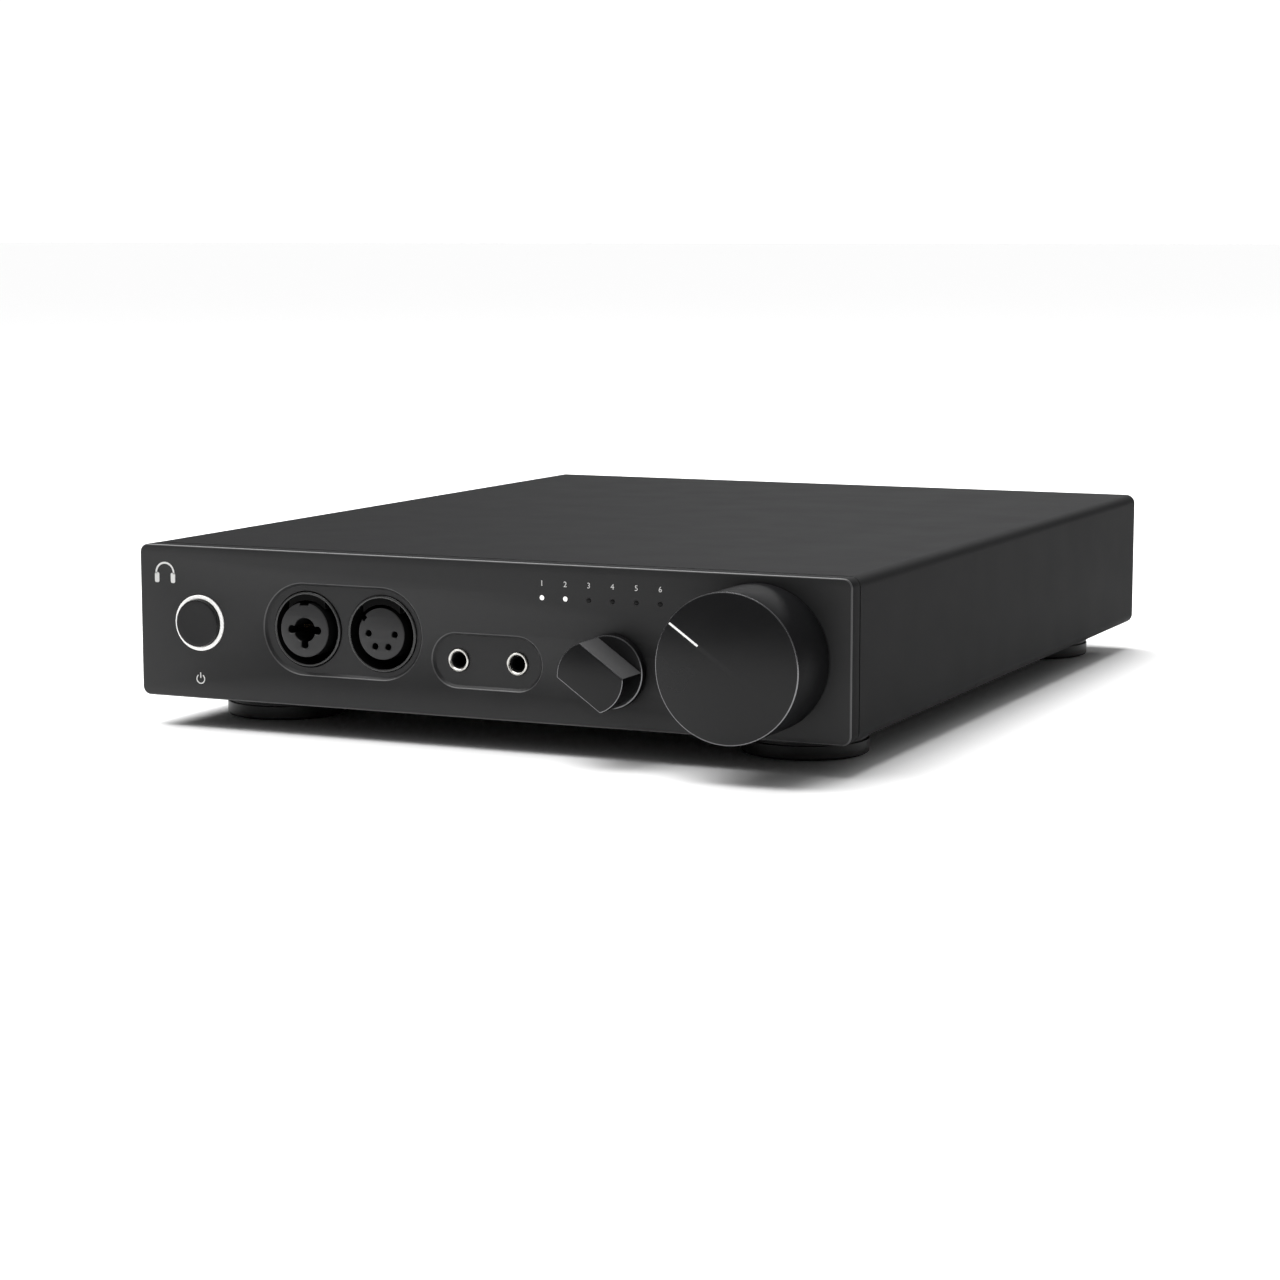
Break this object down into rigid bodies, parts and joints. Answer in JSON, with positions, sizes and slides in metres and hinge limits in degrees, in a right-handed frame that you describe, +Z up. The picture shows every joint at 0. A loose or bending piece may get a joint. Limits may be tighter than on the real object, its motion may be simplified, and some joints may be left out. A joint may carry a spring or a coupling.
{
  "type": "desktop headphone amplifier and dac",
  "caption": "Flat half-width audio case on round feet with power key, balanced and jack headphone sockets, selector and volume knobs, and a rear connector panel.",
  "frame": {"origin": "on the table, under the middle of the whole object's box", "axes": "+X right seen from the front, +Y towards the back, +Z up"},
  "size_m": [0.224, 0.3166, 0.054],
  "materials": {
    "case_black": "fine satin powder coat",
    "front_black": "black anodised, satin",
    "knob_black": "black anodised, satin",
    "button_black": "satin",
    "ring_light": "diffusing, lit",
    "lens_dark": "smoked",
    "pointer_white": "matt",
    "socket_plastic": "fine texture",
    "socket_metal": "black nickel",
    "nickel": "polished nickel",
    "gold": "gold plated",
    "steel": "zinc plated",
    "screw_black": "black oxide",
    "rubber": "matt",
    "board": "solder mask",
    "part_black": "moulded",
    "capacitor_sleeve": "shrink sleeve",
    "sink": "black anodised",
    "control_metal": "satin",
    "winding": "tape over copper"
  },
  "bodies": {
    "chassis": {"case_cover": "case_black", "bottom_plate": "case_black", "rear_panel": "case_black", "front_panel": "front_black", "foot_front_left": "knob_black", "foot_front_right": "knob_black", "foot_rear_left": "knob_black", "foot_rear_right": "knob_black", "power_ring": "ring_light", "lit_lenses": "ring_light", "dark_lenses": "lens_dark", "combo_insert": "socket_plastic", "quad_insert": "socket_plastic", "mains_inlet": "socket_plastic", "optical_socket": "socket_plastic", "xlr_in_cores": "socket_plastic", "combo_shell": "socket_metal", "quad_shell": "socket_metal", "xlr_in_left": "socket_metal", "xlr_in_right": "socket_metal", "xlr_out_left": "socket_metal", "xlr_out_right": "socket_metal", "jack_left": "nickel", "jack_right": "nickel", "mains_pins": "nickel", "usb_socket": "nickel", "front_contacts": "gold", "xlr_out_pins": "gold", "phono_sockets": "gold", "front_posts": "steel", "board_standoffs": "steel", "board_screws": "steel", "foot_screws": "steel", "transformer_clamp": "steel", "panel_screws": "screw_black", "foot_pads": "rubber", "front_board": "board", "main_board": "board", "power_board": "board", "board_chips": "part_black", "output_transistors": "part_black", "power_switch": "part_black", "capacitors": "capacitor_sleeve", "heat_sink": "sink", "selector_switch": "control_metal", "volume_pot": "control_metal", "gain_switch": "control_metal", "transformer": "winding"},
    "power_key": {"power_button": "button_black"},
    "combo_tab": {"combo_release": "socket_plastic"},
    "quad_tab": {"quad_release": "socket_plastic"},
    "selector": {"selector_knob": "knob_black", "selector_shaft": "steel"},
    "volume": {"volume_knob": "knob_black", "volume_pointer": "pointer_white", "volume_shaft": "steel"},
    "gain": {"gain_knob": "knob_black"},
    "line_in_left_tab": {"xlr_in_left_release": "socket_plastic"},
    "line_in_right_tab": {"xlr_in_right_release": "socket_plastic"},
    "optical_shutter": {"optical_flap": "socket_plastic"}
  },
  "joints": [
    {"name": "power_press", "type": "slide", "parent": "chassis", "child": "power_key", "axis": [0, 1, 0], "range_m": [0, 0.0015], "stiffness_N_per_m": 800, "springref_m": -0.0005},
    {"name": "combo_release_press", "type": "slide", "parent": "chassis", "child": "combo_tab", "axis": [0, 1, 0], "range_m": [0, 0.0014], "stiffness_N_per_m": 600, "springref_m": -0.0003},
    {"name": "quad_release_press", "type": "slide", "parent": "chassis", "child": "quad_tab", "axis": [0, 1, 0], "range_m": [0, 0.0014], "stiffness_N_per_m": 600, "springref_m": -0.0003},
    {"name": "selector_turn", "type": "hinge", "parent": "chassis", "child": "selector", "pos_m": [0.0422, -0.13475, 0.0253], "axis": [0, 1, 0], "range_deg": [0, 120]},
    {"name": "volume_turn", "type": "hinge", "parent": "chassis", "child": "volume", "pos_m": [0.0856, -0.13475, 0.0314], "axis": [0, 1, 0], "range_deg": [-95, 205]},
    {"name": "gain_turn", "type": "hinge", "parent": "chassis", "child": "gain", "pos_m": [-0.0415, 0.14925, 0.041], "axis": [0, -1, 0], "range_deg": [0, 120]},
    {"name": "line_in_left_press", "type": "slide", "parent": "chassis", "child": "line_in_left_tab", "axis": [0, -1, 0], "range_m": [0, 0.0012], "stiffness_N_per_m": 600, "springref_m": -0.0003},
    {"name": "line_in_right_press", "type": "slide", "parent": "chassis", "child": "line_in_right_tab", "axis": [0, -1, 0], "range_m": [0, 0.0012], "stiffness_N_per_m": 600, "springref_m": -0.0003},
    {"name": "optical_shutter_turn", "type": "hinge", "parent": "chassis", "child": "optical_shutter", "pos_m": [-0.027, 0.14925, 0.025], "axis": [-1, 0, 0], "range_deg": [0, 80], "stiffness_Nm_per_rad": 0.001, "springref_deg": -17.19}
  ]
}
